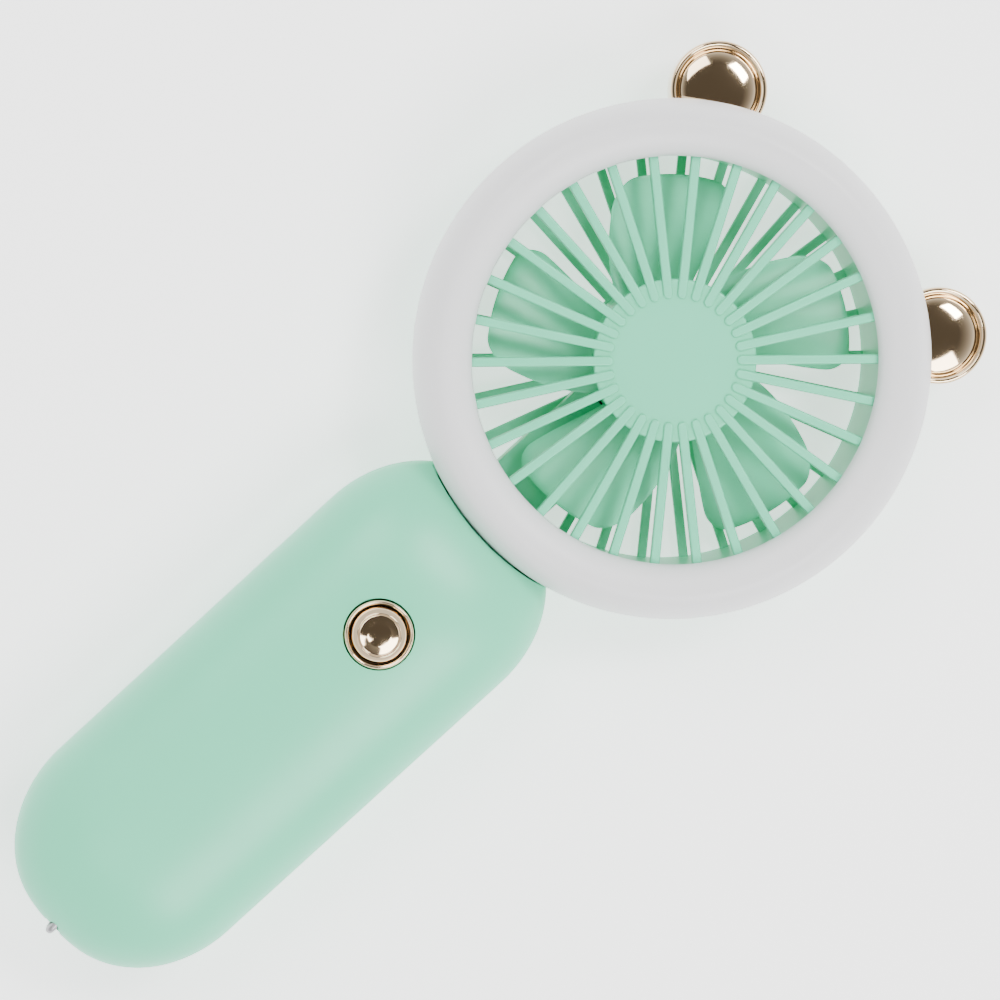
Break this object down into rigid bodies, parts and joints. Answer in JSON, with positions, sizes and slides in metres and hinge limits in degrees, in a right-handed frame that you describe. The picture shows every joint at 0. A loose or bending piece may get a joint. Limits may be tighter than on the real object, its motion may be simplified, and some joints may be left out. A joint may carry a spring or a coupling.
{
  "type": "handheld electric fan",
  "caption": "Handheld electric fan: round ring head with radial grilles and disc ears, rounded bar handle with a push button and a charging inlet.",
  "frame": {"origin": "on the impeller's axis, in the plane of the head's flat back, on which the fan lies", "axes": "+Z out of the front grille along the impeller's axis, +Y from the handle to the top of the head, +X to the right seen from the front"},
  "size_m": [0.092, 0.1969, 0.0292],
  "materials": {
    "mint_plastic": "satin moulded plastic",
    "pale_plastic": "satin moulded plastic, pale grey",
    "gold_plating": "mirror electroplate, champagne gold",
    "bright_steel": "plated sheet steel",
    "dark_steel": "oxide-coated steel",
    "loop_metal": "satin grey wire",
    "bronze": "sintered bronze",
    "copper": "enamelled copper",
    "ferrite": "sintered ferrite",
    "black_plastic": "moulded black plastic",
    "black_insulation": "flexible insulation",
    "red_insulation": "flexible insulation",
    "circuit_board": "glass-fibre board with solder mask",
    "cell_wrap": "shrink sleeve"
  },
  "bodies": {
    "body": {"rear_shell": "mint_plastic", "wire_cover": "mint_plastic", "ear_left": "gold_plating", "ear_right": "gold_plating", "motor_case": "bright_steel", "motor_end_cap": "black_plastic", "front_bush": "bronze", "rear_bush": "bronze", "brush_left": "bronze", "brush_right": "bronze", "magnet_left": "ferrite", "magnet_right": "ferrite", "handle_front": "mint_plastic", "handle_back": "mint_plastic", "button_bezel": "gold_plating", "switch_body": "black_plastic", "main_board": "circuit_board", "controller_chip": "black_plastic", "boost_inductor": "ferrite", "charge_board": "circuit_board", "charge_port": "bright_steel", "port_tongue": "black_plastic", "battery_cell_left": "cell_wrap", "battery_cell_right": "cell_wrap", "nickel_strip_top": "bright_steel", "nickel_strip_bottom": "bright_steel", "motor_lead_red": "red_insulation", "motor_lead_black": "black_insulation", "battery_lead_red": "red_insulation", "battery_lead_black": "black_insulation", "charge_lead_red": "red_insulation", "charge_lead_black": "black_insulation", "case_screw_1": "dark_steel", "case_screw_2": "dark_steel", "case_screw_3": "dark_steel", "case_screw_4": "dark_steel", "board_screw_1": "dark_steel", "board_screw_2": "dark_steel", "lanyard_bar": "loop_metal"},
    "front_cover": {"front_ring": "pale_plastic", "front_grille": "mint_plastic"},
    "rotor": {"impeller": "mint_plastic", "motor_shaft": "bright_steel", "commutator": "copper", "rotor_core": "dark_steel", "rotor_coil_1": "copper", "rotor_coil_2": "copper", "rotor_coil_3": "copper"},
    "button": {"power_button": "gold_plating"},
    "plunger": {"switch_plunger": "black_plastic"}
  },
  "joints": [
    {"name": "impeller_spin", "type": "hinge", "parent": "body", "child": "rotor", "pos_m": [0, 0, 0.0138], "axis": [0, 0, 1], "continuous": true},
    {"name": "front_cover_lift", "type": "slide", "parent": "body", "child": "front_cover", "axis": [0, 0, 1], "range_m": [0, 0.04]},
    {"name": "power_button_press", "type": "slide", "parent": "body", "child": "button", "axis": [0, 0, -1], "range_m": [0, 0.0005], "stiffness_N_per_m": 400, "springref_m": -0.0015},
    {"name": "switch_plunger_press", "type": "slide", "parent": "body", "child": "plunger", "axis": [0, 0, -1], "range_m": [0, 0.0005]}
  ],
  "couplings": [
    {"joint": "switch_plunger_press", "follows": "power_button_press", "ratio": 1}
  ]
}
